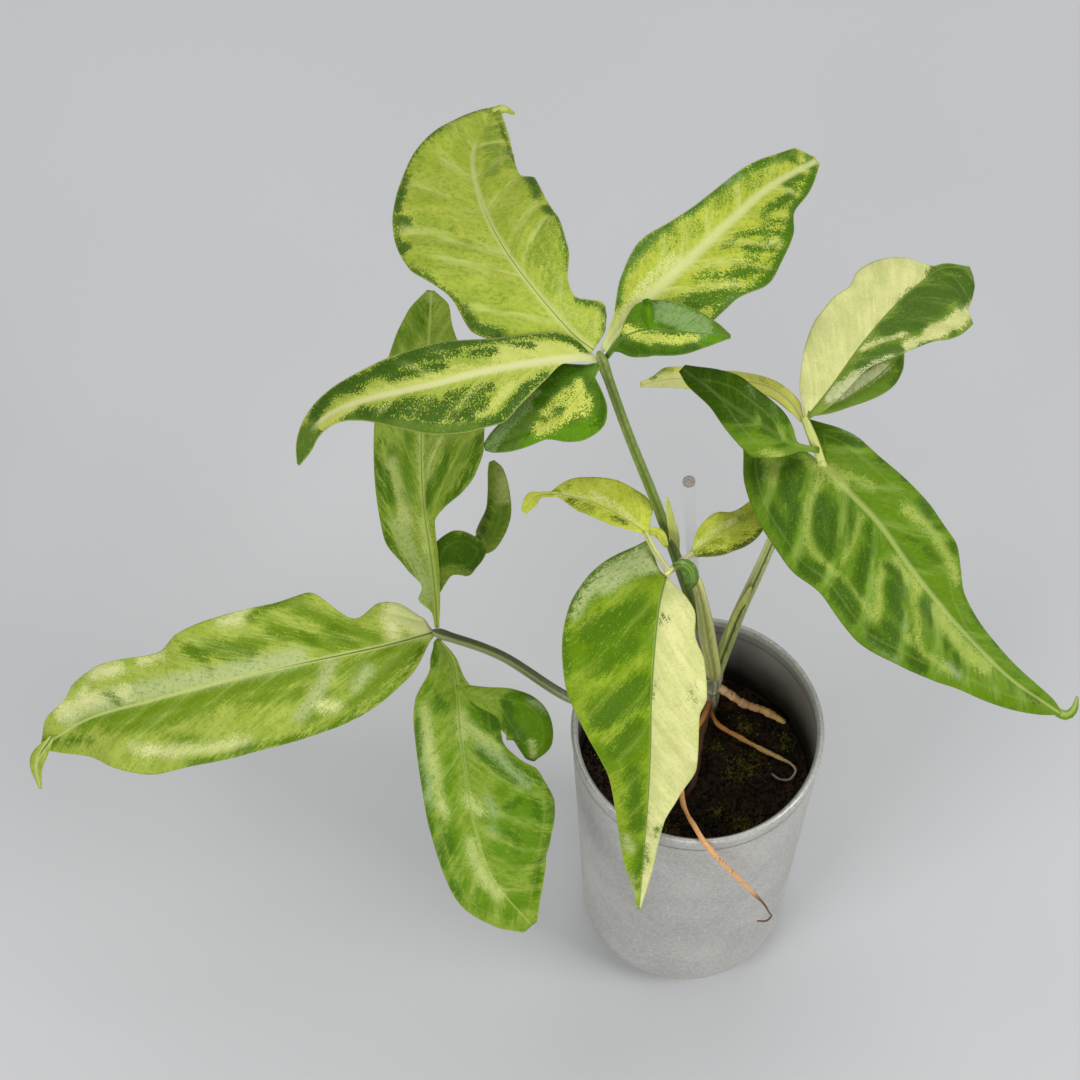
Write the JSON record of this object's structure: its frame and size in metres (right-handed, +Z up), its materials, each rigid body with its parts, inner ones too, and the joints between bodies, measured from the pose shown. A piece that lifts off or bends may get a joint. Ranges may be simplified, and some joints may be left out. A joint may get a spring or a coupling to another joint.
{
  "type": "potted syngonium angustatum",
  "caption": "Variegated arrowhead vine cutting with lobed compound leaves on long stalks, rooted in a small tapered metal tumbler pot with a clear support rod.",
  "frame": {"origin": "centre of the pot's underside, on the surface it stands on", "axes": "+Z up along the pot's axis; -Y towards the viewer of the picture, so the left and right leaves are on their pictured sides"},
  "size_m": [0.3299, 0.2281, 0.2815],
  "materials": {
    "zinc": "matte",
    "potting_soil": "matte",
    "clear_plastic": "gloss",
    "stem_skin": "matte",
    "stalk_pale": "satin",
    "stalk_green": "satin",
    "root_tan": "matte",
    "root_brown": "matte",
    "leaf_lime": "satin",
    "leaf_cream": "satin",
    "leaf_dark": "satin",
    "leaf_marbled": "satin",
    "leaf_yellow": "satin"
  },
  "bodies": {
    "root": {"pot": "zinc", "soil": "potting_soil", "stake": "clear_plastic", "stem": "stem_skin", "front_leaf_petiole": "stalk_pale", "right_leaf_petiole": "stalk_green", "top_leaf_petiole": "stalk_green", "left_leaf_petiole": "stalk_green", "root_thick": "root_tan", "root_over_rim": "root_tan", "root_looped": "root_tan", "root_into_soil": "root_brown", "top_leaf_centre": "leaf_lime", "top_leaf_right": "leaf_lime", "top_leaf_left": "leaf_cream", "top_leaf_right_ear": "leaf_dark", "top_leaf_left_ear": "leaf_dark", "left_leaf_centre": "leaf_marbled", "left_leaf_back": "leaf_marbled", "left_leaf_front": "leaf_marbled", "right_leaf_centre": "leaf_dark", "right_leaf_dark_side": "leaf_dark", "right_leaf_yellow_side": "leaf_yellow", "right_leaf_upper": "leaf_cream", "front_leaf_centre": "leaf_cream", "front_leaf_left": "leaf_yellow", "front_leaf_right": "leaf_yellow", "front_leaf_curl": "leaf_dark"}
  },
  "joints": []
}
